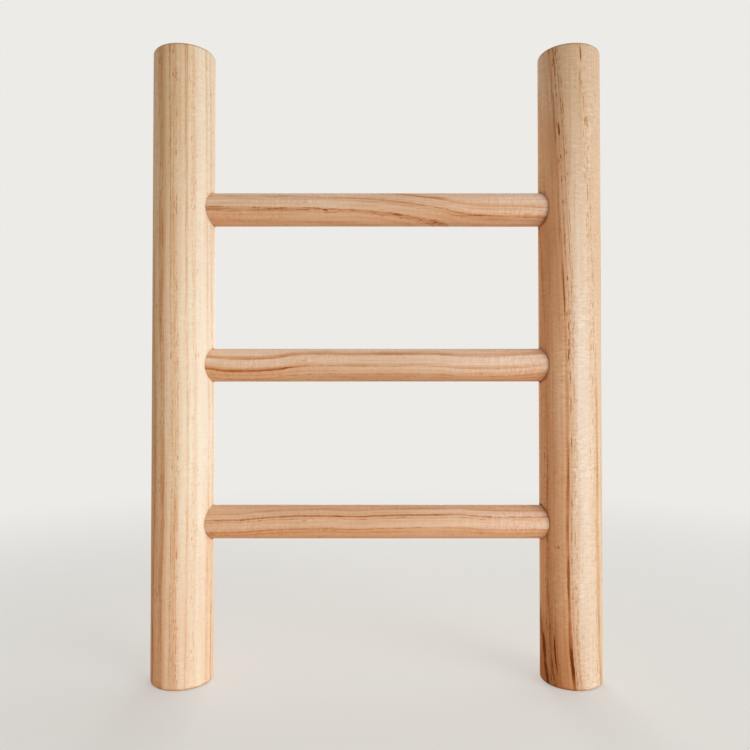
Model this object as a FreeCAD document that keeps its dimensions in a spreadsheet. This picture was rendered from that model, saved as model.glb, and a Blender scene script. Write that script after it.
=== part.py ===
"""A small display ladder: two round posts joined by three round rungs.

Each rung is a plain dowel whose two ends are glued into blind sockets drilled in the posts.
Units are millimetres. +Z runs up the posts, +X along the rungs and +Y away from the viewer.
The origin is on the floor, midway between the two posts.
"""

import FreeCAD, Part
import os

import Sketcher

# Driving dimensions, in millimetres: name, value and what it measures.
DIMENSIONS = (
    ("post_diameter", 35.0, "round post"),
    ("post_length", 360.0, "post, end to end"),
    ("clear_width", 188.0, "gap between the two posts"),
    ("rung_diameter", 19.0, "round rung"),
    ("rung_pitch", 90.0, "from one rung's axis to the next; the rungs are centred on the posts"),
    ("socket_depth", 16.0, "socket floor, below the innermost line of the post"),
    ("glue_line", 0.15, "room for glue all round a rung's end in its socket"),
    ("glue_pocket", 1.0, "room for glue between a rung's end and the socket floor"),
    ("arris_radius", 2.0, "sanded edge of a post's end"),
    ("rung_chamfer", 1.0, "lead-in on a rung's end"),
)
RUNG_NAMES = ("bottom_rung", "middle_rung", "top_rung")
POST_SIDES = {"left_post": -1, "right_post": 1}

PARTS_FOLDER = "parts"
MM3_PER_CM3 = 1000.0
# The sockets of a post are alike, so their volumes may differ only by rounding, as a share of one.
VOLUME_TOLERANCE = 0.001

# Formulas on the sheet's names, shared by the pieces that have to line up.
POST_OFFSET = "(dimensions.clear_width + dimensions.post_diameter) / 2"
SOCKET_FLOOR = "(dimensions.post_diameter / 2 - dimensions.socket_depth)"
SOCKET_DIAMETER = "dimensions.rung_diameter + 2 * dimensions.glue_line"
RUNG_LENGTH = "dimensions.clear_width + 2 * (dimensions.socket_depth - dimensions.glue_pocket)"


def rung_height(index):
    """Formula for the height of a rung's axis above the floor, counted from the bottom rung."""
    steps_from_middle = index - (len(RUNG_NAMES) - 1) / 2
    return f"dimensions.post_length / 2 + {steps_from_middle} * dimensions.rung_pitch"


def add_dimensions(doc):
    """The sheet that drives every size: one row for each dimension."""
    sheet = doc.addObject("Spreadsheet::Sheet", "dimensions")
    for row, (name, value, meaning) in enumerate(DIMENSIONS, start=1):
        sheet.set(f"A{row}", name)
        sheet.set(f"B{row}", str(value))
        sheet.setAlias(f"B{row}", name)
        sheet.set(f"C{row}", meaning)
    doc.recompute()
    return sheet


def origin_feature(body, role):
    """A body's own origin plane or axis, found by its role."""
    return next(f for f in body.Origin.OriginFeatures if f.Role == role)


def add_circle_sketch(body, name, plane, diameter, height="0"):
    """A circle on one of the body's origin planes, centred on the sketch's vertical axis at a height."""
    sketch = body.newObject("Sketcher::SketchObject", name)
    sketch.AttachmentSupport = (origin_feature(body, plane), [""])
    sketch.MapMode = "FlatFace"
    circle = sketch.addGeometry(Part.Circle())
    size = sketch.addConstraint(Sketcher.Constraint("Diameter", circle, 1.0))
    sketch.addConstraint(Sketcher.Constraint("DistanceX", -1, 1, circle, 3, 0.0))
    rise = sketch.addConstraint(Sketcher.Constraint("DistanceY", -1, 1, circle, 3, 0.0))
    sketch.setExpression(f"Constraints[{size}]", diameter)
    sketch.setExpression(f"Constraints[{rise}]", height)
    return sketch


def round_edges(shape):
    """Names of the circular edges of a plain round bar: the rims of its two ends."""
    names = []
    for number, edge in enumerate(shape.Edges, start=1):
        if isinstance(edge.Curve, Part.Circle):
            names.append(f"Edge{number}")
    return names


def add_round_bar(body, name, plane, diameter, length, symmetric):
    """A round bar: a circle padded along the normal of one of the body's origin planes."""
    sketch = add_circle_sketch(body, f"{name}_section", plane, diameter)
    bar = body.newObject("PartDesign::Pad", f"{name}_bar")
    bar.Profile = sketch
    bar.SideType = "Symmetric" if symmetric else "One side"
    bar.setExpression("Length", length)
    body.Document.recompute()
    return bar


def add_post(doc, name, side):
    """A post with sanded ends and a row of blind sockets on its inner side."""
    body = doc.addObject("PartDesign::Body", name)
    body.Label = name
    bar = add_round_bar(body, name, "XY_Plane", "dimensions.post_diameter", "dimensions.post_length", False)

    arris = body.newObject("PartDesign::Fillet", f"{name}_arris")
    arris.Base = (bar, round_edges(bar.Shape))
    arris.setExpression("Radius", "dimensions.arris_radius")

    # The bottom socket is cut from its floor out through the post's inner side, then repeated upwards.
    mouth = add_circle_sketch(body, f"{name}_socket_section", "YZ_Plane", SOCKET_DIAMETER, rung_height(0))
    mouth.setExpression("AttachmentOffset.Base.z", f"{-side} * {SOCKET_FLOOR}")
    socket = body.newObject("PartDesign::Pocket", f"{name}_socket")
    socket.Profile = mouth
    socket.Type = "ThroughAll"
    socket.Reversed = side < 0
    doc.recompute()

    sockets = body.newObject("PartDesign::LinearPattern", f"{name}_sockets")
    sockets.Originals = [socket]
    sockets.Direction = (origin_feature(body, "Z_Axis"), [""])
    sockets.Mode = "Spacing"
    sockets.Occurrences = len(RUNG_NAMES)
    sockets.setExpression("Offset", "dimensions.rung_pitch")
    body.Tip = sockets

    body.setExpression("Placement.Base.x", f"{side} * {POST_OFFSET}")
    return body


def add_rung(doc, name, index):
    """A rung with a lead-in chamfer on both ends, which sit in the posts' sockets."""
    body = doc.addObject("PartDesign::Body", name)
    body.Label = name
    bar = add_round_bar(body, name, "YZ_Plane", "dimensions.rung_diameter", RUNG_LENGTH, True)

    chamfer = body.newObject("PartDesign::Chamfer", f"{name}_lead_in")
    chamfer.Base = (bar, round_edges(bar.Shape))
    chamfer.setExpression("Size", "dimensions.rung_chamfer")

    body.setExpression("Placement.Base.z", rung_height(index))
    return body


def check_document(doc, bodies):
    """Stops the build if a feature failed, a piece isn't one sound solid, or a socket cut nothing."""
    failed = [o.Name for o in doc.Objects if "Invalid" in o.State or "Error" in o.State]
    if failed:
        raise RuntimeError(f"failed features: {failed}")
    for body in bodies:
        shape = body.Shape
        if shape.isNull() or not shape.isValid() or len(shape.Solids) != 1:
            raise RuntimeError(f"{body.Label} is not one valid solid")
    for name in POST_SIDES:
        before = doc.getObject(f"{name}_arris").Shape.Volume
        one_cut = before - doc.getObject(f"{name}_socket").Shape.Volume
        all_cut = before - doc.getObject(name).Shape.Volume
        if one_cut <= 0 or abs(all_cut - len(RUNG_NAMES) * one_cut) > VOLUME_TOLERANCE * one_cut:
            raise RuntimeError(f"{name} lacks a socket: one cut takes {one_cut}, all take {all_cut}")


def main():
    doc = FreeCAD.newDocument("display_ladder")
    add_dimensions(doc)
    bodies = [add_post(doc, name, side) for name, side in POST_SIDES.items()]
    bodies += [add_rung(doc, name, index) for index, name in enumerate(RUNG_NAMES)]
    doc.recompute()
    check_document(doc, bodies)
    os.makedirs(PARTS_FOLDER, exist_ok=True)
    for body in bodies:
        body.Shape.exportStep(f"{PARTS_FOLDER}/{body.Label}.step")
        print(body.Label, "volume", round(body.Shape.Volume / MM3_PER_CM3, 2), "cm3")


main()
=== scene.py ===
import math
from collections import namedtuple

import bpy
import numpy as np
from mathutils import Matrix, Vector


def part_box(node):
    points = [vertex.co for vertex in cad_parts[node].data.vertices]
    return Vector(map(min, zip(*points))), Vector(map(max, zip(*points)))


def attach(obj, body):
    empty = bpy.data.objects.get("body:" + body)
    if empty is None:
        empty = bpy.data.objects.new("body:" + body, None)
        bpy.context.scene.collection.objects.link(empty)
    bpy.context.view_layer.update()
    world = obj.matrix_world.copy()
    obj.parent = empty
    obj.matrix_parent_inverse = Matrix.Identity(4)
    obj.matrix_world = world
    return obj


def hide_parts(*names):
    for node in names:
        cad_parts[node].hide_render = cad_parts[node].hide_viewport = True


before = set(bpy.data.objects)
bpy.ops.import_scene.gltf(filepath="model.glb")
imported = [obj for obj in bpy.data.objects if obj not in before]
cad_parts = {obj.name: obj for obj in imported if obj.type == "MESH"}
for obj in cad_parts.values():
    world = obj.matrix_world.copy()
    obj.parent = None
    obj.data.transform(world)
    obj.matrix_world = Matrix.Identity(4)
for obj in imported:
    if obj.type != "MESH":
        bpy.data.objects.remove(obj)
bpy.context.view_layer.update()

# Sizes are in metres. The grain of the wood is described in millimetres, as it is measured.
MM = 0.001
RUNGS = ("bottom_rung", "middle_rung", "top_rung")

# Joints and edges that the CAD nodes' boxes don't give.
SEEN_GAP = 0.05 * MM
SOCKET_DEPTH = 16.0 * MM
ARRIS = 2.0 * MM
MOUTH_ROUNDING = 0.10 * MM
RUNG_CHAMFER = 1.0 * MM

# Mesh density.
POST_COLUMNS = 192
POST_ROW_STEP = 1.1 * MM
SOCKET_COLUMNS = POST_COLUMNS // 4
SOCKET_RINGS = 6
RUNG_COLUMNS = 96
RUNG_ROW_STEP = 0.8 * MM
ROUNDING_STEPS = 6
CAP_RINGS = 12

# The texture map: the long side of a piece fills the upper part, and round faces lie in a row below it.
MAP_NAME = "OFBake"
MAP_MARGIN = 0.012
MAP_SIDE_FLOOR = 0.17
MAP_DISC_RADIUS = 0.07
MAP_DISC_STEP = 0.16

# How far glue and painted shade in the crevice darken the wood is stored at each point; the next constant is
# their strength inside a socket.
SEAM_NAME = "seam"
GLUED_AND_SHADED = 0.7

# How far hand sanding dips below a bar's full radius, on average.
SANDING_DEPTH = 0.05 * MM


class MeshParts:
    """Collects the points and faces of one mesh, with a place on the texture map for each corner."""

    def __init__(self):
        self.points = []
        self.seams = []
        self.faces = []
        self.places = []
        self.count = 0

    def add_points(self, points, seam=0.0):
        """Stores points and returns their numbers, in the same layout; seam is 1 on a glued joint, darkened
        by glue and painted shade.
        """
        layout = np.shape(points)[:-1]
        flat = np.asarray(points, float).reshape(-1, 3)
        numbers = self.count + np.arange(len(flat))
        self.points.append(flat)
        self.seams.append(np.broadcast_to(seam, layout).ravel())
        self.count += len(flat)
        return numbers.reshape(layout)

    def add_sheet(self, numbers, places, keep=None):
        """Quads between the neighbours of a grid of points; keep picks the quads that are made."""
        corner_numbers = cell_corners(numbers)
        corner_places = cell_corners(places)
        if keep is not None:
            corner_numbers = corner_numbers[keep]
            corner_places = corner_places[keep]
        self.faces.extend(corner_numbers.reshape(-1, 4).tolist())
        self.places.extend(corner_places.reshape(-1, 4, 2).tolist())

    def add_fan(self, rim, rim_places, centre, centre_place, seam=0.0):
        """Triangles from the points of a closed rim to one centre."""
        hub = int(self.add_points([centre], seam)[0])
        for here, there, place_here, place_there in zip(rim, rim[1:], rim_places, rim_places[1:]):
            self.faces.append([int(here), int(there), hub])
            self.places.append([list(place_here), list(place_there), list(centre_place)])

    def make(self, name):
        """The finished object, without the points that no face uses."""
        points = np.concatenate(self.points)
        used = np.unique(np.concatenate([np.asarray(face) for face in self.faces]))
        new_number = np.zeros(len(points), int)
        new_number[used] = np.arange(len(used))
        faces = [new_number[face].tolist() for face in self.faces]
        mesh = bpy.data.meshes.new(name)
        mesh.from_pydata(points[used].tolist(), [], faces)
        layer = mesh.uv_layers.new(name=MAP_NAME)
        flat_places = np.concatenate([np.asarray(place) for place in self.places])
        layer.uv.foreach_set("vector", flat_places.astype(np.float32).ravel())
        seam = mesh.attributes.new(SEAM_NAME, "FLOAT", "POINT")
        seam.data.foreach_set("value", np.concatenate(self.seams)[used].astype(np.float32))
        mesh.shade_smooth()
        made = bpy.data.objects.new(name, mesh)
        bpy.context.scene.collection.objects.link(made)
        return made


def cell_corners(grid):
    """The four corners of each cell of a grid, in turn round the cell."""
    grid = np.asarray(grid)
    return np.stack([grid[:-1, :-1], grid[:-1, 1:], grid[1:, 1:], grid[1:, :-1]], axis=2)


def closed(values):
    """A grid whose first column comes again at its end, so that it goes all the way round."""
    return np.concatenate([values, values[:, :1]], axis=1)


def side_places(turns, heights):
    """Places on the texture map for a long side: turns across, heights up, both from 0 to 1."""
    across = MAP_MARGIN + turns * (1 - 2 * MAP_MARGIN)
    up = MAP_SIDE_FLOOR + heights * (1 - MAP_MARGIN - MAP_SIDE_FLOOR)
    return np.stack(np.broadcast_arrays(across, up), axis=-1)


def disc_places(number, angles, shares):
    """Places on the texture map for the disc of that number, at angles and shares of its radius."""
    across = MAP_DISC_STEP * (number + 0.5) + MAP_DISC_RADIUS * shares * np.cos(angles)
    up = MAP_DISC_STEP / 2 + MAP_DISC_RADIUS * shares * np.sin(angles)
    return np.stack(np.broadcast_arrays(across, up), axis=-1)


def even_steps(start, end, step):
    """Evenly spaced values from start up to, but not including, end, about step apart."""
    count = max(1, round((end - start) / step))
    return list(start + (end - start) * np.arange(count) / count)


def quarter_round(radius):
    """Insets and rises along a rounded edge, from the side round to the flat end."""
    angles = np.linspace(0, math.pi / 2, ROUNDING_STEPS + 1)[1:]
    return radius * (1 - np.cos(angles)), radius * np.sin(angles)


def unevenness(turn, along, phase):
    """How far a hand-sanded round bar dips below its full radius."""
    waves = (
        0.5 * np.sin(2 * turn + along / 0.070 + phase)
        + 0.3 * np.sin(3 * turn - along / 0.045 + 2 * phase)
        + 0.2 * np.sin(5 * turn + along / 0.025 + 3 * phase)
    )
    return SANDING_DEPTH * (1 + waves)


def add_cap(parts, rim, angles, disc, upward, place, radius):
    """A flat round end inside a closed rim, as rings and a fan; place turns x and y into points."""
    shares = 1 - np.arange(1, CAP_RINGS + 1) / (CAP_RINGS + 1)
    x = radius * shares[:, None] * np.cos(angles)
    y = radius * shares[:, None] * np.sin(angles)
    rings = np.concatenate([rim[None, :], closed(parts.add_points(place(x, y)))])
    all_shares = np.concatenate([[1.0], shares])[:, None]
    places = disc_places(disc, np.append(angles, angles[0] + 2 * math.pi)[None, :], all_shares)
    if not upward:
        rings = rings[:, ::-1]
        places = places[:, ::-1]
    parts.add_sheet(rings, places)
    centre = place(np.array([0.0]), np.array([0.0]))[0]
    parts.add_fan(rings[-1], places[-1], centre, disc_places(disc, 0.0, 0.0))


# Where the glue line of each joint gapes: degrees up from the front, how much wider it gets there, and how
# dark the rim is made by glue and by painted shade in the gap.
SEAMS = {
    "left_post": {
        "bottom_rung": (-30, 0.05 * MM, 0.25),
        "middle_rung": (40, 0.05 * MM, 0.25),
        "top_rung": (-50, 0.08 * MM, 0.30),
    },
    "right_post": {
        "bottom_rung": (60, 0.55 * MM, 0.80),
        "middle_rung": (-20, 0.35 * MM, 0.75),
        "top_rung": (-50, 0.80 * MM, 0.90),
    },
}

# A drying split that runs up from the foot of the right post, and a torn spot higher up. Angles are
# from the post's inner side round to its front.
SPLIT_FOOT_ANGLE = math.radians(80.3)
SPLIT_LEAN = math.radians(-245)
SPLIT_MIDDLE = 11 * MM
SPLIT_REACH = 8 * MM
SPLIT_HALF_WIDTH = 0.45 * MM
SPLIT_DEPTH = 0.5 * MM
TEAR_ANGLE = math.radians(49)
TEAR_HEIGHT = 78.2 * MM
TEAR_HALF_HEIGHT = 1.0 * MM
TEAR_HALF_WIDTH = 1.9 * MM
TEAR_DEPTH = 0.45 * MM


def bell(distance, reach):
    """A smooth bump: 1 at no distance, falling away over reach."""
    return np.exp(-(distance / reach) ** 2)


def split_and_tear(angle, z, radius):
    """Depth of the right post's split and torn spot, at an angle and a height."""
    split_angle = SPLIT_FOOT_ANGLE + SPLIT_LEAN * z
    split = bell(radius * (angle - split_angle), SPLIT_HALF_WIDTH) * bell(z - SPLIT_MIDDLE, SPLIT_REACH)
    across = radius * (angle - TEAR_ANGLE)
    along = z - TEAR_HEIGHT - 0.4 * across
    splinters = 0.6 + 0.4 * np.sin(across / (0.35 * MM))
    tear = bell(along, TEAR_HALF_HEIGHT) * bell(across, TEAR_HALF_WIDTH) * splinters
    return SPLIT_DEPTH * split + TEAR_DEPTH * tear


def build_post(name, inward, phase):
    """A post: round bar with sanded ends, and a mouth, wall and floor for each socket on its inner side.

    inward is 1 or -1, the way along X to the other post. Points are worked out round the post's own axis,
    with angle 0 on the inner side, and turned into place at the end.
    """
    low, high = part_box(name)
    length = high.z - low.z
    radius = (high.y - low.y) / 2
    centre_x = (low.x + high.x) / 2

    angles = -math.pi + 2 * math.pi * np.arange(POST_COLUMNS) / POST_COLUMNS
    first_column = (POST_COLUMNS - SOCKET_COLUMNS) // 2
    last_column = first_column + SOCKET_COLUMNS
    patch_half_height = radius * -angles[first_column]

    def place(x, y, z):
        """Points of the post's own axes, in the frame."""
        return np.stack(np.broadcast_arrays(centre_x + inward * x, inward * y, low.z + z), axis=-1)

    def on_side(angle, z, inset=0.0):
        """Points on the post's round side."""
        reach = radius - inset - unevenness(angle, z, phase)
        if name == "right_post":
            reach = reach - split_and_tear(angle, z, radius)
        return reach * np.cos(angle), reach * np.sin(angle), z

    heights = []
    patches = []
    start = ARRIS
    for rung in RUNGS:
        rung_low, rung_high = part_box(rung)
        middle = (rung_low.z + rung_high.z) / 2 - low.z
        heights += even_steps(start, middle - patch_half_height, POST_ROW_STEP)
        patches.append((rung, middle, len(heights) + ROUNDING_STEPS))
        start = middle + patch_half_height
        heights += even_steps(middle - patch_half_height, start, 2 * patch_half_height / SOCKET_COLUMNS)
    heights += even_steps(start, length - ARRIS, POST_ROW_STEP)
    heights.append(length - ARRIS)

    parts = MeshParts()
    inset, rise = quarter_round(ARRIS)
    row_insets = np.concatenate([inset[::-1], np.zeros(len(heights)), inset])
    row_heights = np.concatenate([ARRIS - rise[::-1], heights, length - ARRIS + rise])
    grid_angles, grid_heights = np.meshgrid(angles, row_heights)
    points = place(*on_side(grid_angles, grid_heights, row_insets[:, None]))
    numbers = closed(parts.add_points(points))
    turns = np.arange(POST_COLUMNS + 1) / POST_COLUMNS
    keep = np.ones((len(row_heights) - 1, POST_COLUMNS), bool)
    for _, _, first_row in patches:
        keep[first_row:first_row + SOCKET_COLUMNS, first_column:last_column] = False
    parts.add_sheet(numbers, side_places(turns[None, :], row_heights[:, None] / length), keep)

    add_cap(parts, numbers[0], angles, 0, False, lambda x, y: place(x, y, 0.0), radius - ARRIS)
    add_cap(parts, numbers[-1], angles, 1, True, lambda x, y: place(x, y, length), radius - ARRIS)

    for disc, (rung, middle, first_row) in enumerate(patches, start=2):
        rows = np.arange(first_row, first_row + SOCKET_COLUMNS + 1)
        columns = np.arange(first_column, last_column + 1)
        loop_rows = np.concatenate([
            np.full(SOCKET_COLUMNS, rows[0]), rows[:-1], np.full(SOCKET_COLUMNS, rows[-1]), rows[:0:-1],
        ])
        loop_columns = np.concatenate([
            columns[:-1], np.full(SOCKET_COLUMNS, columns[-1]),
            columns[:0:-1], np.full(SOCKET_COLUMNS, columns[0]),
        ])
        loop_angles = angles[loop_columns]
        loop_heights = row_heights[loop_rows]
        directions = np.arctan2(loop_heights - middle, radius * loop_angles)

        rung_low, rung_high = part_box(rung)
        wall_radius = (rung_high.z - rung_low.z) / 2 + SEEN_GAP
        tilt, gape, stain_and_shade = SEAMS[name][rung]
        gape_direction = math.radians(tilt if inward < 0 else 180 - tilt)
        lobe = (0.5 + 0.5 * np.cos(directions - gape_direction)) ** 2
        rounding = MOUTH_ROUNDING + gape * lobe
        mouth_radius = wall_radius + rounding
        mouth_angles = np.arcsin(mouth_radius * np.cos(directions) / radius)
        mouth_heights = middle + mouth_radius * np.sin(directions)

        share = np.linspace(0, 1, SOCKET_RINGS + 1)[1:, None]
        ring_angles = loop_angles + share * (mouth_angles - loop_angles)
        ring_heights = loop_heights + share * (mouth_heights - loop_heights)
        # The rim darkens towards the mouth and the gape, by glue and by painted shade.
        ring_seam = np.maximum(0.0, 3 * share - 2) * stain_and_shade * (0.3 + 0.7 * lobe)
        rings = parts.add_points(place(*on_side(ring_angles, ring_heights)), ring_seam)
        patch = closed(np.concatenate([numbers[loop_rows, loop_columns][None, :], rings]))
        patch_turns = 0.5 + np.concatenate([loop_angles[None, :], ring_angles]) / (2 * math.pi)
        patch_shares = np.concatenate([loop_heights[None, :], ring_heights]) / length
        parts.add_sheet(patch, closed(side_places(patch_turns, patch_shares)))

        mouth_x, _, _ = on_side(mouth_angles, mouth_heights)
        floor_x = np.full_like(mouth_x, radius - SOCKET_DEPTH)
        wall_x = np.stack([mouth_x - 0.4 * rounding, mouth_x - 2 * rounding, floor_x, floor_x])
        wall_reach = np.stack([
            wall_radius + 0.3 * rounding, np.full_like(mouth_x, wall_radius),
            np.full_like(mouth_x, wall_radius), np.full_like(mouth_x, wall_radius / 2),
        ])
        wall_points = place(wall_x, wall_reach * np.cos(directions), middle + wall_reach * np.sin(directions))
        # The socket's wall and floor are darkened by glue and by painted shade.
        wall = parts.add_points(wall_points, GLUED_AND_SHADED)
        socket = closed(np.concatenate([patch[-1:, :-1], wall]))
        shares = np.array([1.0, 0.97, 0.92, 0.5, 0.25])[:, None]
        places = closed(disc_places(disc, directions[None, :], shares))
        parts.add_sheet(socket, places)
        centre = place(floor_x[0], 0.0, middle)
        parts.add_fan(socket[-1], places[-1], centre, disc_places(disc, 0.0, 0.0), GLUED_AND_SHADED)

    return parts.make(name + "_wood")


def build_rung(name, phase):
    """A rung: a round bar along X with chamfered ends, which lie hidden in the sockets."""
    low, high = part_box(name)
    length = high.x - low.x
    radius = (high.z - low.z) / 2
    middle_z = (low.z + high.z) / 2
    angles = -math.pi + 2 * math.pi * np.arange(RUNG_COLUMNS) / RUNG_COLUMNS
    along = even_steps(RUNG_CHAMFER, length - RUNG_CHAMFER, RUNG_ROW_STEP)
    row_along = np.concatenate([[0.0], along, [length - RUNG_CHAMFER, length]])
    row_insets = np.zeros(len(row_along))
    row_insets[[0, -1]] = RUNG_CHAMFER

    def place(x, y, z):
        """Points of the rung's own axes, in the frame."""
        return np.stack(np.broadcast_arrays(low.x + x, y, middle_z + z), axis=-1)

    parts = MeshParts()
    grid_angles, grid_along = np.meshgrid(angles, row_along)
    reach = radius - row_insets[:, None] - unevenness(grid_angles, grid_along, phase)
    points = place(grid_along, reach * np.cos(grid_angles), reach * np.sin(grid_angles))
    numbers = closed(parts.add_points(points))
    turns = np.arange(RUNG_COLUMNS + 1) / RUNG_COLUMNS
    parts.add_sheet(numbers, side_places(turns[None, :], row_along[:, None] / length))
    add_cap(parts, numbers[0], angles, 0, False, lambda y, z: place(0.0, y, z), radius - RUNG_CHAMFER)
    add_cap(parts, numbers[-1], angles, 1, True, lambda y, z: place(length, y, z), radius - RUNG_CHAMFER)
    return parts.make(name + "_wood")


def colour(red, green, blue):
    """A shader colour from the 0 to 255 values that a screen shows."""
    shares = np.array([red, green, blue]) / 255
    linear = np.where(shares <= 0.04045, shares / 12.92, ((shares + 0.055) / 1.055) ** 2.4)
    return (*linear.tolist(), 1.0)


class Graph:
    """Adds nodes to one node tree and links them, so that a pattern reads as a formula."""

    def __init__(self, tree):
        self.tree = tree
        tree.nodes.clear()

    def node(self, kind, **settings):
        made = self.tree.nodes.new(kind)
        for setting, value in settings.items():
            setattr(made, setting, value)
        return made

    def set(self, socket, value):
        """Links a socket to another node's output, or sets its own value."""
        if isinstance(value, bpy.types.NodeSocket):
            self.tree.links.new(value, socket)
        else:
            socket.default_value = value

    def set_all(self, node, *values):
        """Sets a node's sockets in order, and returns its first output."""
        for socket, value in zip(node.inputs, values):
            self.set(socket, value)
        return node.outputs[0]

    def math(self, operation, *values):
        return self.set_all(self.node("ShaderNodeMath", operation=operation), *values)

    def add(self, *values):
        total = values[0]
        for value in values[1:]:
            total = self.math("ADD", total, value)
        return total

    def times(self, *values):
        product = values[0]
        for value in values[1:]:
            product = self.math("MULTIPLY", product, value)
        return product

    def most(self, *values):
        highest = values[0]
        for value in values[1:]:
            highest = self.math("MAXIMUM", highest, value)
        return highest

    def rise(self, value, start, end, low=0.0, high=1.0):
        """An S-curve from low at start to high at end, flat outside."""
        made = self.node("ShaderNodeMapRange", interpolation_type="SMOOTHSTEP")
        return self.set_all(made, value, start, end, low, high)

    def share(self, value, start, end):
        """How far value has come from start to end, from 0 to 1."""
        return self.set_all(self.node("ShaderNodeMapRange"), value, start, end, 0.0, 1.0)

    def vector(self, *values):
        return self.set_all(self.node("ShaderNodeCombineXYZ"), *values)

    def split(self, vector):
        made = self.node("ShaderNodeSeparateXYZ")
        self.set(made.inputs[0], vector)
        return list(made.outputs)

    def noise(self, place, detail):
        """Smooth noise round 0; place is already divided by the size of its blobs."""
        made = self.node("ShaderNodeTexNoise")
        self.set(made.inputs["Vector"], place)
        made.inputs["Scale"].default_value = 1.0
        made.inputs["Detail"].default_value = detail
        return self.add(made.outputs["Fac"], -0.5)

    def ramp(self, value, stops):
        """A colour that runs through stops, pairs of a place from 0 to 1 and a colour."""
        made = self.node("ShaderNodeValToRGB")
        elements = made.color_ramp.elements
        while len(elements) < len(stops):
            elements.new(0.5)
        for element, (at, shade) in zip(elements, stops):
            element.position = at
            element.color = shade
        self.set(made.inputs[0], value)
        return made.outputs[0]

    def profile(self, value, points):
        """A height that follows straight lines through points, pairs of a place and a height."""
        first, last = points[0][0], points[-1][0]
        stops = [((at - first) / (last - first), (height, height, height, 1.0)) for at, height in points]
        return self.ramp(self.share(value, first, last), stops)

    def curve(self, value, points):
        """A height that follows a smooth curve through points, pairs of a place and a height."""
        places, heights = zip(*points)
        low, high = min(heights), max(heights)
        made = self.node("ShaderNodeFloatCurve")
        line = made.mapping.curves[0]
        while len(line.points) < len(points):
            line.points.new(0.5, 0.5)
        for point, (at, height) in zip(line.points, points):
            point.location = ((at - places[0]) / (places[-1] - places[0]), (height - low) / (high - low))
            point.handle_type = "AUTO"
        made.mapping.update()
        self.set(made.inputs["Value"], self.share(value, places[0], places[-1]))
        return self.add(self.times(made.outputs[0], high - low), low)

    def shade(self, base, factor):
        """A colour made lighter or darker by a factor round 1."""
        made = self.node("ShaderNodeVectorMath", operation="SCALE")
        self.set(made.inputs[0], base)
        self.set(made.inputs["Scale"], factor)
        return made.outputs[0]

    def seen(self):
        """1 for a ray that shows a surface, straight or in a mirror or glass, and 0 for one that lights."""
        path = self.node("ShaderNodeLightPath")
        return self.most(*(path.outputs["Is %s Ray" % kind] for kind in ("Camera", "Glossy", "Transmission")))

    def clamp(self, value):
        return self.set_all(self.node("ShaderNodeClamp"), value, 0.0, 1.0)

    def blend(self, factor, first, second, way="MIX"):
        """A colour that goes from first to second, or to their product, as factor goes from 0 to 1."""
        made = self.node("ShaderNodeMix", data_type="RGBA", blend_type=way)
        sockets = {socket.identifier: socket for socket in made.inputs}
        self.set(sockets["Factor_Float"], factor)
        self.set(sockets["A_Color"], first)
        self.set(sockets["B_Color"], second)
        return next(socket for socket in made.outputs if socket.identifier == "Result_Color")


# A dark line in the grain: its place across the rings, how far it fades before and after its core, its
# strength, the stretch of the piece's length that it shows on, and half the width of its core. A mark is
# one short streak.
Line = namedtuple("Line", "ring before after strength low high core", defaults=(-math.inf, math.inf, 0.15))
Mark = namedtuple("Mark", "along ring half_length half_width strength")


def dash(ring, strength, low=-math.inf, high=math.inf):
    """A thin line, for a row of resin flecks."""
    return Line(ring, 0.32, 0.32, strength, low, high, 0.05)


SAPWOOD = (
    (0.0, colour(253, 240, 223)),
    (0.25, colour(243, 219, 192)),
    (0.5, colour(224, 190, 152)),
    (0.75, colour(203, 158, 116)),
    (1.0, colour(146, 98, 60)),
)
HEARTWOOD = (
    (0.0, colour(252, 219, 187)),
    (0.25, colour(240, 193, 153)),
    (0.5, colour(222, 163, 118)),
    (0.75, colour(190, 122, 73)),
    (1.0, colour(122, 63, 28)),
)


def tinted(palette, tint):
    """A palette with its red, green and blue scaled."""
    return [(at, (*(share * scale for share, scale in zip(shade, tint)), 1.0)) for at, shade in palette]


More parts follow.
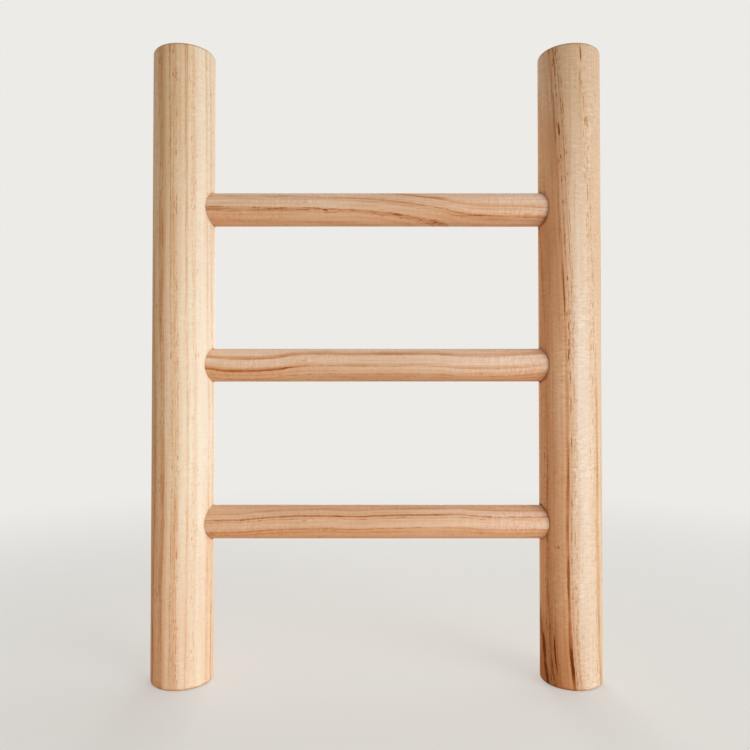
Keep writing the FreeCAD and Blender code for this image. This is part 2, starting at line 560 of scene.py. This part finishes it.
# Grain of each piece, in millimetres.
#   tint: how far the red, green and blue of the sapwood differ from the palette's.
#   pith: the heart of the tree, from the piece's axis, sideways and back for a post, up and back for a rung.
#   drift: how far the rings have moved across, along the piece. drift_share: how much of it each ring takes.
#   lean: how far the short flecks move across, for each millimetre along.
#   ripple: how strong the cross-grain ripple is.
#   tones: for places along the piece, how dark the wood is across the rings, from 0 to 1.
#   hearts: the same for its colour, from yellowish sapwood (0) to orange heartwood (1).
#   flecks: how thick the short flecks lie across the rings, from 0 to 1.
#   lines: dark lines. dashes: lines that are broken up. marks: single streaks.
LOOKS = {
    "left_post": {
        "tint": (0.99, 1.0, 0.97),
        "pith": (80.0, 10.0),
        "drift": ((0, -1.2), (38, -1.3), (132, -2.1), (216, -1.1), (350, 0.0), (360, 0.1)),
        "drift_share": ((-20, 1.0), (20, 1.0)),
        "lean": 0.08,
        "ripple": 0.32,
        # The wood darkens towards the post's left side, away from the key lamp, partly as grain and partly as
        # painted shade.
        "tones": (
            (12, ((-19, 0.30), (-13, 0.18), (-9, 0.06), (-4, 0.10), (-1, 0.12), (2, 0.09), (4.5, 0.24),
                  (7.1, 0.30), (9.2, 0.22), (12, 0.32), (19, 0.54))),
            (150, ((-19, 0.04), (-9, 0.0), (-6.5, 0.02), (-4.5, 0.07), (-2.4, 0.02), (0, 0.12), (2, 0.11),
                   (5, 0.22), (7.6, 0.26), (10, 0.27), (12, 0.36), (19, 0.56))),
            (345, ((-19, 0.18), (-13, 0.18), (-9.5, 0.10), (-5, 0.27), (-1, 0.33), (2, 0.38), (5, 0.40),
                   (7.4, 0.43), (9.6, 0.46), (10.6, 0.55), (12, 0.48), (14.5, 0.40), (19, 0.36))),
        ),
        "hearts": (
            # At the foot the wood is more orange, partly as heartwood and partly as painted warm light from
            # below.
            (12, ((-19, 0.6), (-12, 0.45), (-6, 0.35), (3, 0.45), (7, 0.5), (12, 0.7), (19, 0.9))),
            (150, ((-19, 0.15), (-10, 0.0), (-4, 0.0), (0, 0.15), (3, 0.2), (6, 0.35), (10, 0.2), (19, 0.4))),
            (345, ((-19, 0.0), (-4, 0.05), (4, 0.1), (12, 0.1), (15, 0.0), (19, 0.0))),
        ),
        "flecks": ((-19, 0.5), (-13, 0.6), (-10, 0.1), (-6, 0.8), (-3.5, 0.8), (-1, 0.2), (2, 0.2),
                   (4.5, 1.0), (7.5, 0.7), (9.5, 0.2), (12.5, 0.9), (19, 0.6)),
        "lines": (
            Line(-14.9, 0.3, 0.4, 0.12), Line(-12.7, 0.3, 1.2, 0.12), Line(-5.2, 1.4, 1.0, 0.08),
            Line(-0.8, 1.3, 0.3, 0.14, core=0.3), Line(-1.3, 0.5, 0.4, 0.16, low=240, core=0.6),
            Line(4.3, 0.4, 0.8, 0.08), Line(5.9, 1.6, 1.0, 0.09, core=0.5),
            Line(7.5, 0.3, 0.25, 0.20, core=0.1), Line(7.3, 0.5, 0.6, 0.12, low=230),
            Line(10.2, 0.5, 0.5, 0.06), Line(12.4, 1.1, 1.2, 0.19, core=0.6),
            Line(16.6, 0.6, 0.7, 0.16, high=250),
        ),
        "dashes": (
            dash(-14.9, 0.34), dash(-12.7, 0.28), dash(-5.6, 0.16), dash(-4.2, 0.20), dash(-0.8, 0.28),
            dash(4.3, 0.44), dash(5.6, 0.24), dash(7.4, 0.38), dash(11.6, 0.26), dash(12.9, 0.34),
        ),
        "marks": (),
    },
    "right_post": {
        "tint": (0.98, 1.0, 1.05),
        "pith": (-70.0, 8.0),
        "drift": ((0, 3.9), (10, 2.5), (22, 1.3), (50, 0.2), (88, -0.3), (126, 0.0), (173, -0.6), (220, -1.9),
                  (265, -4.3), (300, -5.6), (330, -7.5), (360, -10.0)),
        "drift_share": ((-6, 1.0), (11, 0.45)),
        "lean": -0.02,
        "ripple": 0.62,
        "tones": (
            (8, ((-20, 0.78), (-10, 0.70), (-7.5, 0.60), (-2, 0.56), (0.2, 0.46), (3.5, 0.35), (6, 0.29),
                 (10, 0.29), (12.5, 0.36), (14, 0.43), (20, 0.46))),
            (62, ((-20, 0.42), (-16, 0.45), (-12.5, 0.59), (-8, 0.43), (-3, 0.35), (-0.8, 0.36),
                  (3, 0.30), (7, 0.24), (11, 0.29), (13, 0.39), (20, 0.46))),
            (170, ((-20, 0.43), (-15, 0.44), (-11.5, 0.48), (-8, 0.32), (-3, 0.29), (-0.8, 0.32),
                   (2, 0.27), (5.6, 0.12), (8, 0.20), (12, 0.36), (20, 0.48))),
            (255, ((-20, 0.47), (-10, 0.53), (-4, 0.47), (-0.6, 0.40), (2, 0.32),
                   (6, 0.27), (9, 0.31), (13, 0.42), (20, 0.46))),
            (300, ((-20, 0.24), (-9, 0.28), (-5.8, 0.42), (-3.5, 0.53), (-1.3, 0.52), (0.7, 0.46),
                   (3, 0.42), (9, 0.40), (13, 0.40), (20, 0.41))),
            (350, ((-20, 0.26), (-6, 0.31), (-2, 0.50), (0, 0.55), (2.4, 0.56), (4.2, 0.50), (8, 0.50),
                   (11, 0.47), (14, 0.42), (20, 0.42))),
        ),
        "hearts": (
            (170, ((-20, 1.0), (-3, 1.0), (-0.6, 0.7), (0.6, 0.4), (3, 0.2), (5.5, 0.0), (20, 0.0))),
            (300, ((-20, 1.0), (-6, 1.0), (-1, 0.7), (1, 0.5), (4, 0.3), (8, 0.1), (20, 0.0))),
            (350, ((-20, 0.5), (-6, 0.4), (0, 0.2), (5, 0.1), (20, 0.0))),
        ),
        "flecks": ((-20, 0.3), (-11, 0.3), (-3, 0.1), (-0.5, 0.8), (2.6, 0.9), (4.5, 0.3), (8.5, 0.3),
                   (10.5, 0.6), (13.5, 0.5), (16, 0.3), (20, 0.3)),
        "lines": (
            Line(-13.2, 0.8, 0.8, 0.10), Line(-9.2, 1.0, 0.5, 0.06), Line(-4.6, 0.6, 0.6, 0.05),
            Line(-1.6, 0.6, 0.4, 0.13, core=0.4), Line(-1.6, 0.5, 0.5, 0.30, high=185, core=0.5),
            Line(0.4, 0.5, 0.5, 0.08), Line(2.1, 0.3, 0.4, 0.12, low=200),
            Line(2.6, 0.4, 0.5, 0.10, high=60), Line(13.7, 0.4, 1.0, 0.18, high=180, core=0.3),
        ),
        "dashes": (
            dash(-14.7, 0.28, high=200), dash(-13.0, 0.28, high=150), dash(-1.5, 0.32), dash(0.4, 0.52),
            dash(2.1, 0.36), dash(3.1, 0.28), dash(10.7, 0.26, low=150), dash(11.6, 0.34, low=120),
            dash(12.5, 0.28), dash(13.5, 0.30, high=200),
        ),
        "marks": (
            Mark(222, -1.7, 20, 0.6, 0.46), Mark(62, -1.7, 18, 1.1, 0.44), Mark(22, -1.6, 24, 1.5, 0.46),
            Mark(335, -1.7, 30, 0.9, 0.16), Mark(17, -1.5, 11, 1.0, 0.85), Mark(8, -0.8, 10, 0.6, 0.45),
            Mark(312, 0.4, 5, 0.5, 0.50), Mark(348, 0.9, 12, 0.35, 0.26),
            Mark(354, 11.6, 6, 0.4, 0.36), Mark(337, 11.4, 2, 0.4, 0.32), Mark(316, 12.2, 4, 0.3, 0.26),
            Mark(155, 0.1, 4, 0.4, 0.44), Mark(201, 0.1, 3, 0.4, 0.44),
            Mark(192, 0.0, 3, 0.35, 0.38), Mark(185, -0.2, 4, 0.4, 0.46), Mark(66, 5.5, 3, 0.3, 0.26),
            Mark(146, 13.4, 12, 0.6, 0.24), Mark(40, 14.0, 16, 0.6, 0.26), Mark(110, -13.2, 12, 0.5, 0.24),
            Mark(21, -16.8, 9, 1.1, 0.32), Mark(6, -17.0, 10, 1.1, 0.36), Mark(12, -13.5, 11, 0.6, 0.14),
            Mark(19, -10.7, 12, 0.65, 0.40), Mark(52, -13.6, 12, 0.5, 0.20), Mark(33, -17.7, 12, 0.6, 0.22),
            Mark(78.6, -6.9, 0.6, 0.5, 0.55), Mark(78.0, -6.5, 0.6, 0.45, 0.5),
            Mark(77.6, -9.2, 0.4, 0.45, 0.25), Mark(78.3, -8.3, 0.4, 0.45, 0.25),
            Mark(79.0, -9.5, 0.4, 0.4, 0.25),
        ),
    },
    "top_rung": {
        "tint": (1.0, 0.97, 1.02),
        "pith": (150.0, 0.0),
        "drift": ((-109, -0.8), (-70, -1.3), (-42, -1.6), (-27, -2.2), (-14, -2.5), (0, -3.6),
                  (14, -5.1), (23, -6.5), (38, -8.8), (44, -10.4), (60, -12.4), (80, -12.8), (109, -14.0)),
        "drift_share": ((-20, 1.0), (20, 1.0)),
        "lean": 0.0,
        "ripple": 0.50,
        # Towards its underside the rung is darker and more orange, partly as grain and partly as painted warm
        # shade.
        "tones": (
            (-95, ((-10, 0.53), (-3, 0.50), (-0.6, 0.54), (0.6, 0.46), (3, 0.42), (6, 0.40), (9, 0.33),
                   (24, 0.33))),
            (-30, ((-10, 0.48), (-3, 0.46), (-0.6, 0.48), (0.6, 0.42), (3, 0.38), (6, 0.34), (9, 0.26),
                   (24, 0.27))),
            (55, ((-10, 0.50), (4, 0.48), (6.6, 0.47), (7.6, 0.38), (9, 0.33), (11, 0.35), (12.6, 0.31),
                  (16, 0.30), (24, 0.29))),
            (95, ((-10, 0.48), (4, 0.44), (7.6, 0.34), (9, 0.29), (11, 0.32), (12.6, 0.28), (16, 0.25),
                  (24, 0.24))),
        ),
        "hearts": (
            (-50, ((-10, 0.6), (-4, 0.45), (0, 0.3), (2, 0.05), (24, 0.0))),
            (60, ((-10, 0.8), (4, 0.65), (6.6, 0.6), (7.6, 0.4), (24, 0.3))),
            (95, ((-10, 0.9), (7.6, 0.5), (11, 0.15), (24, 0.15))),
        ),
        "flecks": ((-10, 0.3), (-3, 0.3), (-0.5, 0.8), (2, 0.3), (24, 0.4)),
        "lines": (
            Line(-6.5, 0.6, 1.4, 0.10), Line(-3.4, 0.8, 0.8, 0.06),
            Line(-1.0, 1.0, 0.5, 0.20, high=-30, core=0.5), Line(-0.8, 0.8, 0.4, 0.12),
            Line(0, 0.5, 0.6, 0.20), Line(2.6, 0.5, 0.8, 0.05), Line(5.4, 0.8, 1.6, 0.12),
            Line(7.0, 0.6, 1.0, 0.24), Line(8.6, 0.3, 1.2, 0.10, high=60), Line(10.4, 0.4, 0.6, 0.09),
            Line(12.1, 0.4, 2.4, 0.30), Line(14.3, 0.3, 0.4, 0.12, low=60), Line(16.5, 0.3, 0.8, 0.08),
        ),
        "dashes": (
            dash(-1.5, 0.34), Line(-0.4, 0.5, 0.5, 0.42, core=0.3), dash(0.4, 0.40), dash(7.0, 0.40),
            dash(8.3, 0.24), dash(10.2, 0.20, low=60), dash(12.1, 0.18), dash(14.2, 0.20, low=60),
        ),
        "marks": (),
    },
    "middle_rung": {
        "tint": (1.0, 0.97, 1.02),
        "pith": (150.0, 0.0),
        "drift": ((-109, -0.2), (-95, -0.9), (-76, -2.1), (-60, -1.6), (-46, 0.1), (-32, 0.8), (-13, 0.6),
                  (29, 0.6), (49, -0.5), (63, -0.8), (77, -0.3), (94, 1.1), (109, 1.8)),
        "drift_share": ((-20, 1.0), (20, 1.0)),
        "lean": 0.0,
        "ripple": 0.50,
        # Towards its underside the rung is darker and more orange, partly as grain and partly as painted warm
        # shade.
        "tones": (
            (-80, ((-13, 0.44), (-7, 0.47), (-3, 0.48), (-1.6, 0.50), (0.5, 0.41), (2.5, 0.31), (4.6, 0.34),
                   (5.2, 0.42), (7, 0.28), (13, 0.22))),
            (0, ((-13, 0.56), (-7, 0.60), (-5, 0.48), (-2.2, 0.42), (-1.4, 0.44), (0.5, 0.38), (4.2, 0.31),
                 (5.2, 0.42), (8, 0.26), (13, 0.22))),
            (85, ((-13, 0.50), (-7, 0.45), (-5, 0.38), (-1.6, 0.32), (1, 0.25), (4.6, 0.25),
                  (5.4, 0.33), (8, 0.35), (13, 0.32))),
        ),
        "hearts": (
            (-80, ((-13, 0.3), (-5, 0.6), (-1.6, 0.9), (0.5, 0.4), (3, 0.05), (5, 0.5), (13, 0.2))),
            (0, ((-13, 0.4), (-6, 0.35), (-2.5, 0.1), (-1.5, 0.2), (1, 0.0), (4, 0.0), (6, 0.1), (13, 0.0))),
            (85, ((-13, 0.9), (-6, 0.7), (-3, 0.2), (4, 0.0), (6, 0.4), (13, 0.3))),
        ),
        "flecks": ((-13, 0.5), (-6, 0.6), (-3, 0.2), (-1, 0.5), (3, 0.2), (13, 0.4)),
        "lines": (
            Line(-7.8, 0.8, 0.8, 0.06), Line(-6.3, 0.5, 0.6, 0.10), Line(-4.2, 0.5, 0.6, 0.05),
            Line(-1.8, 0.5, 2.4, 0.18), Line(-1.8, 0.5, 1.2, 0.40, high=-30), Line(1.6, 0.4, 0.8, 0.05),
            Line(5.1, 0.4, 2.0, 0.22, core=0.4),
        ),
        "dashes": (
            dash(-6.2, 0.24), dash(-4.2, 0.12), dash(-1.8, 0.28), dash(2.9, 0.12), dash(5.1, 0.14),
        ),
        "marks": (),
    },
    "bottom_rung": {
        "tint": (1.0, 0.94, 0.98),
        "pith": (150.0, 0.0),
        "drift": ((-109, -2.2), (-95, -2.1), (-79, -1.9), (-68, -1.0), (-48, 0.0), (-26, 0.3), (-13, -0.1),
                  (1, 0.45), (26, 0.8), (48, 0.9), (53, 0.4), (77, -0.3), (109, 0.2)),
        "drift_share": ((-20, 1.0), (20, 1.0)),
        "lean": 0.0,
        "ripple": 0.50,
        # Towards its underside the rung is darker and more orange, partly as grain and partly as painted warm
        # shade.
        "tones": (
            (-40, ((-12, 0.49), (-6, 0.49), (-3, 0.51), (-2, 0.48), (0, 0.46), (3.4, 0.43),
                   (5, 0.44), (6.9, 0.48), (7.4, 0.50), (12, 0.46))),
            (85, ((-12, 0.42), (-6, 0.43), (-3.2, 0.40), (-2, 0.26), (0, 0.25), (3.4, 0.34), (5, 0.27),
                  (6.9, 0.29), (7.4, 0.40), (12, 0.42))),
        ),
        "hearts": (
            (-40, ((-12, 0.9), (-3, 0.8), (-1.5, 0.3), (2, 0.2), (4, 0.4), (6, 0.1), (7.5, 0.3), (12, 0.1))),
            (85, ((-12, 0.9), (-3, 0.6), (-1.5, 0.25), (2, 0.25), (4, 0.3), (6, 0.1), (7.5, 0.6), (12, 0.3))),
        ),
        "flecks": ((-12, 0.5), (-3, 0.6), (-1.5, 0.2), (2, 0.3), (4, 0.8), (6, 0.3), (12, 0.4)),
        "lines": (
            Line(-5.0, 0.8, 0.8, 0.08), Line(-2.9, 0.8, 0.4, 0.13), Line(0.8, 0.4, 0.8, 0.05),
            Line(2.6, 0.4, 0.5, 0.12), Line(4.0, 0.5, 0.7, 0.30), Line(5.4, 0.4, 0.5, 0.06),
            Line(7.2, 0.4, 0.9, 0.12),
        ),
        "dashes": (
            dash(-5.0, 0.16), dash(-3.0, 0.24), dash(2.6, 0.30), dash(3.9, 0.50), dash(4.4, 0.36),
            dash(7.1, 0.14),
        ),
        "marks": (),
    },
}

# Sizes of the patterns that all the pieces share, in millimetres across and along the grain.
WANDER = (18.0, 70.0)
WOBBLE = (4.0, 20.0)
FEATHER = (0.9, 8.0)
STREAK = (1.7, 60.0)
FIBRE = (0.55, 22.0)
SPECKLE = (0.5, 1.2)
RIPPLE = (3.6, 0.95)
RIPPLE_BEND = (3.0, 5.0)
BLOTCH = (14.0, 45.0)
LINE_FADE = (7.0, 24.0)
DASH = (1.1, 5.0)
FLECK = (0.45, 4.8)

# Over how many millimetres a line that shows on one stretch fades at the ends of it.
LINE_END = 25.0

# Colours that the wood is multiplied by on its end grain, on its sanded edges (exposed end grain and painted
# shade) and on its glued joints (glue and painted shade in the crevice).
END_GRAIN = (0.84, 0.70, 0.54, 1.0)
EDGE_GRAIN_AND_SHADE = (0.82, 0.69, 0.55, 1.0)
GLUE_AND_SHADE = (0.40, 0.23, 0.11, 1.0)

# Bare wood hardly shines. Its grain stands a little proud of its surface.
SHINE = 0.03
BUMP_STRENGTH = 0.4
BUMP_HEIGHT = 0.12 * MM


class Grain:
    """Places inside one piece of wood, in millimetres, and noise that is drawn out along its grain."""

    def __init__(self, g, centre, along_axis):
        self.g = g
        place = g.node("ShaderNodeTexCoord").outputs["Object"]
        x, y, z = [g.times(g.add(socket, -offset), 1 / MM) for socket, offset in zip(g.split(place), centre)]
        self.back = y
        self.side, self.along = (x, z) if along_axis == "Z" else (z, x)
        self.shift = 0.0

    def noise(self, size, detail=2.0, lean=0.0, bend=0.0):
        """Noise round 0, of blobs of a size across and along the grain; no two calls give the same.

        lean slants the blobs across the grain, and bend is added to the place along it.
        """
        g = self.g
        across, along = size
        self.shift += 37.0
        side = self.side
        if lean:
            side = g.add(side, g.times(self.along, -lean))
        place = g.vector(
            g.times(side, 1 / across),
            g.add(g.times(self.back, 1 / across), self.shift),
            g.times(g.add(self.along, bend), 1 / along),
        )
        return g.noise(place, detail)


def ring_field(g, grain, look, upside):
    """Which ring a place lies on: millimetres from the pith, with 0 at the piece's own axis."""
    pith_side, pith_back = look["pith"]
    from_pith = g.math("SQRT", g.add(
        g.math("POWER", g.add(grain.side, -pith_side), 2.0),
        g.math("POWER", g.add(grain.back, -pith_back), 2.0),
    ))
    ring = g.times(g.add(from_pith, -math.hypot(pith_side, pith_back)), upside)
    drift = g.times(g.curve(grain.along, look["drift"]), g.profile(ring, look["drift_share"]), -1.0)
    wander = g.times(grain.noise(WANDER), 0.6)
    wobble = g.times(grain.noise(WOBBLE), 0.6)
    feather = g.times(grain.noise(FEATHER), 0.7)
    return g.add(ring, drift, wander, wobble, feather)


def along_stations(g, grain, ring, stations):
    """A value that runs across the rings by one profile at each station, and blends from one to the next."""
    last_along, points = stations[0]
    value = g.profile(ring, points)
    for along, points in stations[1:]:
        reached = g.rise(grain.along, last_along, along)
        value = g.add(value, g.times(reached, g.add(g.profile(ring, points), g.times(value, -1.0))))
        last_along = along
    return value


def lines_tone(g, grain, ring, lines):
    """The strongest of some lines at each place, where each fades in and out along its stretch."""
    total = 0.0
    for line in lines:
        first, last = line.ring - line.core, line.ring + line.core
        before = g.rise(ring, first - line.before, first, 0.0, line.strength)
        tone = g.times(before, g.rise(ring, last, last + line.after, 1.0, 0.0))
        if line.low > -math.inf:
            tone = g.times(tone, g.rise(grain.along, line.low, line.low + LINE_END))
        if line.high < math.inf:
            tone = g.times(tone, g.rise(grain.along, line.high - LINE_END, line.high, 1.0, 0.0))
        total = g.math("MAXIMUM", total, tone)
    return total


def marks_tone(g, grain, ring, marks):
    """The strongest of some short streaks at each place."""
    total = 0.0
    for mark in marks:
        along = g.times(g.add(grain.along, -mark.along), 1 / mark.half_length)
        across = g.times(g.add(ring, -mark.ring), 1 / mark.half_width)
        distance = g.add(g.math("POWER", along, 2.0), g.math("POWER", across, 2.0))
        total = g.math("MAXIMUM", total, g.rise(distance, 0.2, 1.0, mark.strength, 0.0))
    return total


def wood_material(name, centre, along_axis):
    """Solid pine: rings round the pith, broken by flecks, fibres and ripple, with darker end grain."""
    look = LOOKS[name]
    material = bpy.data.materials.new(name + "_pine")
    material.use_nodes = True
    g = Graph(material.node_tree)
    grain = Grain(g, centre, along_axis)
    ring = ring_field(g, grain, look, 1.0 if along_axis == "Z" else -1.0)

    fibre = grain.noise(FIBRE, 3.0)
    line_strength = g.times(
        g.rise(grain.noise(LINE_FADE), -0.22, 0.22, 0.55, 1.3),
        g.rise(fibre, -0.25, 0.25, 0.65, 1.35),
    )
    dash_strength = g.rise(grain.noise(DASH), 0.0, 0.12)
    fleck_place = g.add(grain.noise(FLECK, 1.0, look["lean"]), g.times(g.profile(ring, look["flecks"]), 0.16))
    lines = g.most(
        g.times(lines_tone(g, grain, ring, look["lines"]), line_strength),
        g.times(lines_tone(g, grain, ring, look["dashes"]), dash_strength),
        g.times(marks_tone(g, grain, ring, look["marks"]), g.rise(fibre, -0.25, 0.25, 0.5, 1.4)),
        g.rise(fleck_place, 0.25, 0.35, 0.0, 0.34),
    )
    tone = g.add(
        along_stations(g, grain, ring, look["tones"]),
        lines,
        g.times(fibre, 0.22),
        g.times(grain.noise(STREAK), 0.18),
        g.times(grain.noise(BLOTCH), 0.10),
    )
    heart = g.add(
        along_stations(g, grain, ring, look["hearts"]),
        g.times(lines, 1.4),
        g.times(grain.noise(STREAK), 1.2),
    )
    bend = g.times(grain.noise(RIPPLE_BEND), 4.0)
    ripple_place = g.times(
        g.rise(grain.noise(BLOTCH), -0.15, 0.15, 0.4, 1.0),
        g.rise(tone, 0.15, 0.55, 1.0, 0.5),
    )
    ripple = g.times(grain.noise(RIPPLE, 2.0, 0.0, bend), ripple_place)
    speckle = grain.noise(SPECKLE)
    texture = g.add(g.times(ripple, look["ripple"]), g.times(speckle, 0.12))
    seen_tone = g.add(tone, g.times(texture, -0.8))
    sapwood = g.ramp(seen_tone, tinted(SAPWOOD, look["tint"]))
    wood = g.blend(g.clamp(heart), sapwood, g.ramp(seen_tone, HEARTWOOD))
    wood = g.shade(wood, g.add(1.0, g.times(texture, 0.4)))

    normal = g.split(g.node("ShaderNodeNewGeometry").outputs["Normal"])
    facing = g.math("ABSOLUTE", normal["XYZ".index(along_axis)])
    wood = g.blend(g.rise(facing, 0.6, 0.95), wood, END_GRAIN, "MULTIPLY")
    # The sanded edges are darkened, partly as exposed end grain and partly as painted shade.
    arris = g.times(g.rise(facing, 0.1, 0.5), g.rise(facing, 0.8, 0.98, 1.0, 0.0))
    wood = g.blend(arris, wood, EDGE_GRAIN_AND_SHADE, "MULTIPLY")
    # Glued joints are darkened by glue and by painted shade in the crevice.
    seam = g.node("ShaderNodeAttribute", attribute_name=SEAM_NAME)
    wood = g.blend(seam.outputs["Fac"], wood, GLUE_AND_SHADE, "MULTIPLY")

    shader = g.node("ShaderNodeBsdfPrincipled")
    g.set(shader.inputs["Base Color"], wood)
    g.set(shader.inputs["Roughness"], g.add(0.80, g.times(tone, -0.10), g.times(fibre, 0.2)))
    shader.inputs["Specular IOR Level"].default_value = SHINE
    bump = g.node("ShaderNodeBump")
    bump.inputs["Strength"].default_value = BUMP_STRENGTH
    bump.inputs["Distance"].default_value = BUMP_HEIGHT
    height = g.add(g.times(tone, 0.6), fibre, g.times(ripple, 0.08), g.times(speckle, 0.15))
    g.set(bump.inputs["Height"], height)
    g.set(shader.inputs["Normal"], bump.outputs[0])
    output = g.node("ShaderNodeOutputMaterial")
    g.set(output.inputs["Surface"], shader.outputs[0])
    return material


def dress(piece, node, along_axis):
    """Gives a piece its wood, and puts it in its CAD node's place."""
    low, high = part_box(node)
    centre = (low + high) / 2
    if along_axis == "Z":
        centre.z = low.z
    piece.data.materials.append(wood_material(node, centre, along_axis))
    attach(piece, "root")
    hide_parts(node)


dress(build_post("left_post", 1, 0.4), "left_post", "Z")
dress(build_post("right_post", -1, 1.9), "right_post", "Z")
for number, rung in enumerate(RUNGS):
    dress(build_rung(rung, 0.7 + 1.3 * number), rung, "X")

# The camera stands where the photograph was taken: close in front, a little below half the posts' height.
CAMERA_PLACE = (-0.00094, -0.40243, 0.16739)
CAMERA_TILT_UP = math.radians(0.987)
FOCAL_PIXELS = 696.6
IMAGE_PIXELS = 750
SENSOR = 36.0

camera_data = bpy.data.cameras.new("camera")
camera_data.sensor_width = SENSOR
camera_data.lens = SENSOR * FOCAL_PIXELS / IMAGE_PIXELS
camera_data.clip_start = 0.01
camera = bpy.data.objects.new("camera", camera_data)
camera.location = CAMERA_PLACE
camera.rotation_euler = (math.pi / 2 + CAMERA_TILT_UP, 0.0, 0.0)
bpy.context.scene.collection.objects.link(camera)
bpy.context.scene.camera = camera


def add_softbox(name, place, target, size, spread, power, tint):
    """A soft lamp that points at a target; spread is the angle that it fans out to."""
    data = bpy.data.lights.new(name, "AREA")
    data.shape = "RECTANGLE"
    data.size, data.size_y = size
    data.spread = math.radians(spread)
    data.energy = power
    data.color = tint
    lamp = bpy.data.objects.new(name, data)
    lamp.location = place
    lamp.rotation_euler = (Vector(target) - Vector(place)).to_track_quat("-Z", "Y").to_euler()
    lamp.visible_camera = False
    bpy.context.scene.collection.objects.link(lamp)


add_softbox("key", (0.95, -0.85, 0.30), (0.0, 0.0, 0.11), (0.9, 0.35), 60, 1.35, (1.0, 0.98, 0.96))
add_softbox("bounce", (-0.5, -0.5, 0.02), (-0.03, 0.0, 0.15), (0.9, 0.12), 140, 0.42, (1.0, 0.74, 0.46))
add_softbox("back", (0.0, 1.0, 0.20), (0.0, 0.0, 0.20), (0.35, 0.35), 60, 0.8, (1.0, 0.98, 0.96))
add_softbox("rim", (0.35, 0.55, 0.85), (0.0, 0.0, 0.18), (1.2, 0.5), 120, 1.1, (0.95, 0.97, 1.0))

BACKGROUND = colour(236, 235, 231)
AMBIENT_COLOUR = (1.0, 0.97, 0.93, 1.0)
AMBIENT_STRENGTH = 0.41

world = bpy.data.worlds.new("studio")
bpy.context.scene.world = world
world.use_nodes = True
g = Graph(world.node_tree)
ambient = g.node("ShaderNodeBackground")
ambient.inputs["Color"].default_value = AMBIENT_COLOUR
ambient.inputs["Strength"].default_value = AMBIENT_STRENGTH
backdrop = g.node("ShaderNodeBackground")
backdrop.inputs["Color"].default_value = BACKGROUND
chosen = g.node("ShaderNodeMixShader")
g.set_all(chosen, g.seen(), ambient.outputs[0], backdrop.outputs[0])
g.set(g.node("ShaderNodeOutputWorld").inputs["Surface"], chosen.outputs[0])

FLOOR_REACH = 6.0
floor_mesh = bpy.data.meshes.new("floor")
floor_corners = [(x * FLOOR_REACH, y * FLOOR_REACH, 0.0) for x, y in ((-1, -1), (1, -1), (1, 1), (-1, 1))]
floor_mesh.from_pydata(floor_corners, [], [(0, 1, 2, 3)])
floor = bpy.data.objects.new("floor", floor_mesh)
bpy.context.scene.collection.objects.link(floor)
floor_material = bpy.data.materials.new("floor")
floor_material.use_nodes = True
g = Graph(floor_material.node_tree)
length = g.node("ShaderNodeVectorMath", operation="LENGTH")
g.set(length.inputs[0], g.node("ShaderNodeTexCoord").outputs["Object"])
far = g.rise(length.outputs["Value"], 0.1, 0.8, 0.45, 1.0)
near_floor = g.node("ShaderNodeBsdfDiffuse")
near_floor.inputs["Color"].default_value = colour(238, 236, 232)
far_floor = g.node("ShaderNodeEmission")
far_floor.inputs["Color"].default_value = BACKGROUND
mixed = g.node("ShaderNodeMixShader")
g.set_all(mixed, g.times(far, g.seen()), near_floor.outputs[0], far_floor.outputs[0])
g.set(g.node("ShaderNodeOutputMaterial").inputs["Surface"], mixed.outputs[0])
floor_mesh.materials.append(floor_material)

bpy.context.scene.view_settings.view_transform = "Standard"
